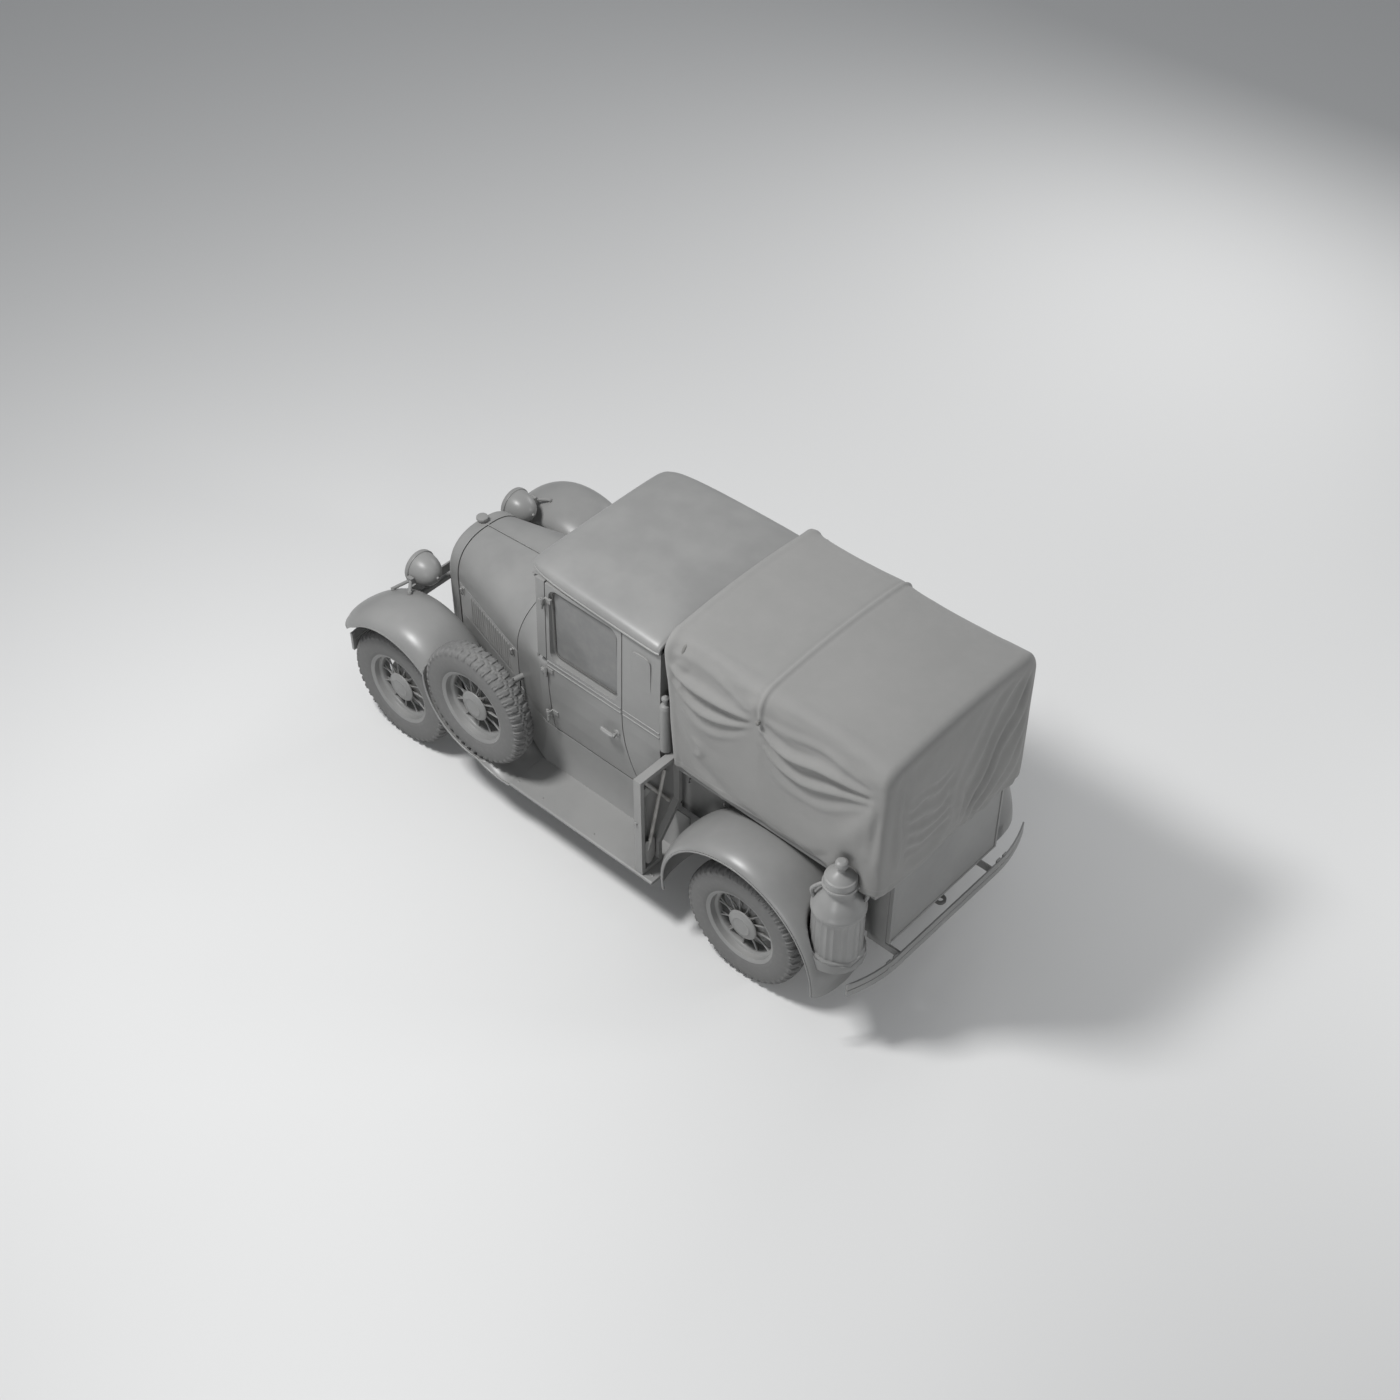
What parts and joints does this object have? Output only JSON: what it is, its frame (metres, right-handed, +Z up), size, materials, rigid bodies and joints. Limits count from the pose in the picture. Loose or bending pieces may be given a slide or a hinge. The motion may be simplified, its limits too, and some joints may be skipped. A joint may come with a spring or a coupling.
{
  "type": "military cargo truck",
  "caption": "Light closed-cab army truck with a canvas tilt over a low cargo tub, wire wheels, swept fenders, a side spare wheel, a churn and a tool board.",
  "frame": {"origin": "on the ground under the middle of the truck's length and width", "axes": "+X forward, +Y to the truck's left, +Z up"},
  "size_m": [3.83, 1.69, 1.9053],
  "materials": {
    "body_paint": "satin grey paint",
    "chassis_paint": "matt dark paint",
    "wheel_paint": "satin grey paint",
    "tyre": "matt rubber",
    "glass": "clear",
    "canvas": "woven duck canvas",
    "seat_leather": "worn artificial leather",
    "steering_rim": "hard rubber",
    "cast_iron": "matt",
    "churn_steel": "tinned steel",
    "tools": "oiled handles and dark steel heads"
  },
  "bodies": {
    "chassis": {"frame": "chassis_paint", "cross_members": "chassis_paint", "front_axle": "chassis_paint", "rear_axle": "chassis_paint", "leaf_springs": "chassis_paint", "engine": "cast_iron", "exhaust": "chassis_paint", "radiator_shell": "body_paint", "radiator_core": "cast_iron", "hood_sides": "body_paint", "cowl": "body_paint", "cab_back": "body_paint", "cab_roof": "body_paint", "windscreen_frame": "body_paint", "cab_floor": "body_paint", "cab_glass": "glass", "bench_seat": "seat_leather", "steering_column": "chassis_paint", "front_fenders": "body_paint", "rear_fenders": "body_paint", "running_boards": "body_paint", "cargo_tub": "body_paint", "tailgate": "body_paint", "tilt_canvas": "canvas", "tilt_bows": "body_paint", "front_bumper": "body_paint", "rear_bumper": "body_paint", "headlamps": "body_paint", "headlamp_lenses": "glass", "lamp_bar": "body_paint", "tyre_spare": "tyre", "wheel_spare": "wheel_paint", "tool_board": "body_paint", "tools": "tools", "churn": "churn_steel", "extinguisher": "body_paint"},
    "knuckle_left": {"knuckle_left": "chassis_paint"},
    "knuckle_right": {"knuckle_right": "chassis_paint"},
    "tie_rod": {"tie_rod": "chassis_paint"},
    "steering_wheel": {"steering_wheel": "steering_rim"},
    "wheel_front_left": {"wheel_front_left": "wheel_paint", "tyre_front_left": "tyre"},
    "wheel_front_right": {"wheel_front_right": "wheel_paint", "tyre_front_right": "tyre"},
    "wheel_rear_left": {"wheel_rear_left": "wheel_paint", "tyre_rear_left": "tyre"},
    "wheel_rear_right": {"wheel_rear_right": "wheel_paint", "tyre_rear_right": "tyre"},
    "door_left": {"door_left": "body_paint", "door_glass_left": "glass"},
    "door_right": {"door_right": "body_paint", "door_glass_right": "glass"},
    "hood_left": {"hood_left": "body_paint"},
    "hood_right": {"hood_right": "body_paint"}
  },
  "joints": [
    {"name": "steer_left", "type": "hinge", "parent": "chassis", "child": "knuckle_left", "pos_m": [1.47, 0.625, 0.374], "axis": [0, 0, 1], "range_deg": [-26, 26]},
    {"name": "steer_right", "type": "hinge", "parent": "chassis", "child": "knuckle_right", "pos_m": [1.47, -0.625, 0.374], "axis": [0, 0, 1], "range_deg": [-26, 26]},
    {"name": "tie_rod_swing", "type": "hinge", "parent": "knuckle_left", "child": "tie_rod", "pos_m": [1.32, 0.625, 0.3], "axis": [0, 0, 1], "range_deg": [-26, 26]},
    {"name": "steering_wheel_turn", "type": "hinge", "parent": "chassis", "child": "steering_wheel", "pos_m": [0.178, 0.3, 1.11], "axis": [-0.7955, 0, 0.606], "range_deg": [-312, 312]},
    {"name": "roll_front_left", "type": "hinge", "parent": "knuckle_left", "child": "wheel_front_left", "pos_m": [1.47, 0.71, 0.374], "axis": [0, 1, 0], "continuous": true},
    {"name": "roll_front_right", "type": "hinge", "parent": "knuckle_right", "child": "wheel_front_right", "pos_m": [1.47, -0.71, 0.374], "axis": [0, 1, 0], "continuous": true},
    {"name": "roll_rear_left", "type": "hinge", "parent": "chassis", "child": "wheel_rear_left", "pos_m": [-1.15, 0.71, 0.374], "axis": [0, 1, 0], "continuous": true},
    {"name": "roll_rear_right", "type": "hinge", "parent": "chassis", "child": "wheel_rear_right", "pos_m": [-1.15, -0.71, 0.374], "axis": [0, 1, 0], "continuous": true},
    {"name": "door_left_swing", "type": "hinge", "parent": "chassis", "child": "door_left", "pos_m": [0.409, 0.59, 1.1], "axis": [0, 0, -1], "range_deg": [0, 62]},
    {"name": "door_right_swing", "type": "hinge", "parent": "chassis", "child": "door_right", "pos_m": [0.409, -0.59, 1.1], "axis": [0, 0, 1], "range_deg": [0, 62]},
    {"name": "hood_left_lift", "type": "hinge", "parent": "chassis", "child": "hood_left", "pos_m": [0.777, 0, 1.181], "axis": [0.9973, 0, -0.073], "range_deg": [0, 70]},
    {"name": "hood_right_lift", "type": "hinge", "parent": "chassis", "child": "hood_right", "pos_m": [0.777, 0, 1.181], "axis": [-0.9973, 0, 0.073], "range_deg": [0, 70]}
  ],
  "couplings": [
    {"joint": "steer_right", "follows": "steer_left", "ratio": 1},
    {"joint": "tie_rod_swing", "follows": "steer_left", "ratio": -1},
    {"joint": "steering_wheel_turn", "follows": "steer_left", "ratio": 12}
  ]
}
